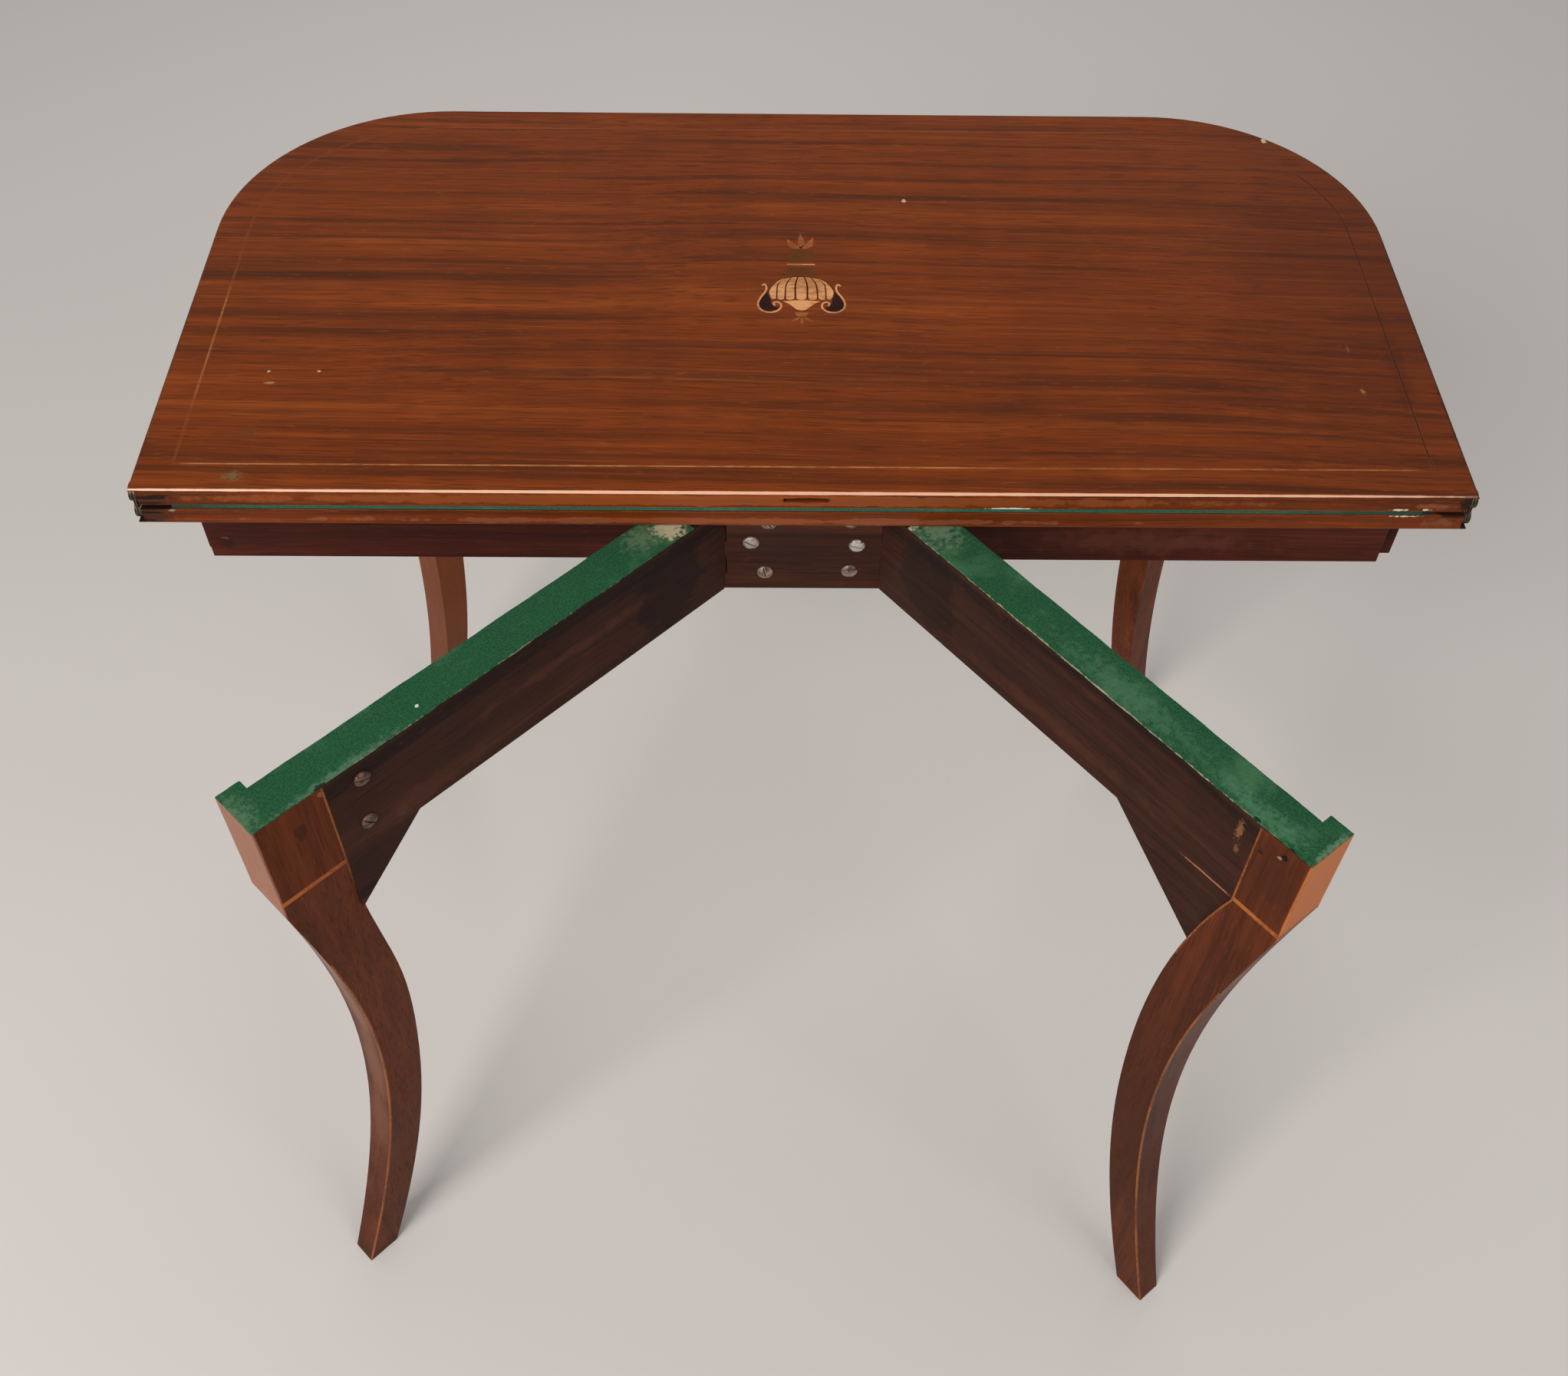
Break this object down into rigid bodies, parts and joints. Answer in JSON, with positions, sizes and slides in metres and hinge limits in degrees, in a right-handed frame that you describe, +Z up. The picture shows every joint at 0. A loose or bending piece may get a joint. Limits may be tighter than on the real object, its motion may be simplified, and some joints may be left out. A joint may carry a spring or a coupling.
{
  "type": "games table",
  "caption": "Fold-over games table with a baize-lined hinged top, curved sabre legs and two swing-out gate legs on wooden knuckle joints.",
  "frame": {"origin": "on the floor, midway across the table's width and midway between the rearmost foot and the front edge of the top, at rest with the top closed and both gates swung out", "axes": "+X to the right along the straight hinged edge as seen from behind the gates, +Y from the hinged edge towards the curved front, +Z up"},
  "size_m": [0.9156, 0.748, 0.737],
  "materials": {
    "top_mahogany": "semi-gloss french polish over straight-grained mahogany",
    "frame_mahogany": "semi-gloss polish, red-brown mahogany",
    "dark_gate_wood": "dull dark stain on secondary wood",
    "plain_softwood": "bare secondary wood",
    "light_inlay": "polished light wood stringing",
    "baize": "worn green wool baize",
    "hinge_brass": "dark tarnished brass",
    "pin_iron": "dull iron",
    "screw_steel": "worn steel"
  },
  "bodies": {
    "frame": {"back_rail": "frame_mahogany", "front_rail": "frame_mahogany", "left_side_rail": "frame_mahogany", "right_side_rail": "frame_mahogany", "left_side_curved_rail": "frame_mahogany", "left_front_curved_rail": "frame_mahogany", "right_side_curved_rail": "frame_mahogany", "right_front_curved_rail": "frame_mahogany", "medial_rail": "plain_softwood", "left_corner_block": "plain_softwood", "right_corner_block": "plain_softwood", "hinge_block": "dark_gate_wood", "block_screws": "screw_steel", "left_knuckle_pin": "pin_iron", "right_knuckle_pin": "pin_iron", "left_front_leg": "frame_mahogany", "right_front_leg": "frame_mahogany", "left_front_leg_band": "light_inlay", "right_front_leg_band": "light_inlay", "lower_leaf": "top_mahogany", "lower_baize": "baize", "left_lower_hinge_plate": "hinge_brass", "right_lower_hinge_plate": "hinge_brass", "left_lower_hinge_pin": "hinge_brass", "right_lower_hinge_pin": "hinge_brass", "lower_hinge_screws": "screw_steel", "top_screws": "screw_steel"},
    "hinge_links": {"left_hinge_link": "hinge_brass", "right_hinge_link": "hinge_brass"},
    "leaf": {"upper_leaf": "top_mahogany", "upper_baize": "baize", "string_inlay": "light_inlay", "left_upper_hinge_plate": "hinge_brass", "right_upper_hinge_plate": "hinge_brass", "left_upper_hinge_pin": "hinge_brass", "right_upper_hinge_pin": "hinge_brass", "upper_hinge_screws": "screw_steel"},
    "left_gate": {"left_gate_rail": "dark_gate_wood", "left_gate_baize": "baize", "left_gate_leg": "frame_mahogany", "left_gate_leg_band": "light_inlay", "left_gate_bracket": "dark_gate_wood", "left_bracket_screws": "screw_steel"},
    "right_gate": {"right_gate_rail": "dark_gate_wood", "right_gate_baize": "baize", "right_gate_leg": "frame_mahogany", "right_gate_leg_band": "light_inlay", "right_gate_bracket": "dark_gate_wood"}
  },
  "joints": [
    {"name": "link_fold", "type": "hinge", "parent": "frame", "child": "hinge_links", "pos_m": [0, -0.07566, 0.7135], "axis": [1, 0, 0], "range_deg": [0, 90]},
    {"name": "leaf_fold", "type": "hinge", "parent": "hinge_links", "child": "leaf", "pos_m": [0, -0.07566, 0.7285], "axis": [1, 0, 0], "range_deg": [0, 90]},
    {"name": "left_gate_swing", "type": "hinge", "parent": "frame", "child": "left_gate", "pos_m": [-0.063, -0.04901, 0.622], "axis": [0, 0, 1], "range_deg": [-45, 7]},
    {"name": "right_gate_swing", "type": "hinge", "parent": "frame", "child": "right_gate", "pos_m": [0.063, -0.04901, 0.622], "axis": [0, 0, -1], "range_deg": [-51, 1]}
  ]
}
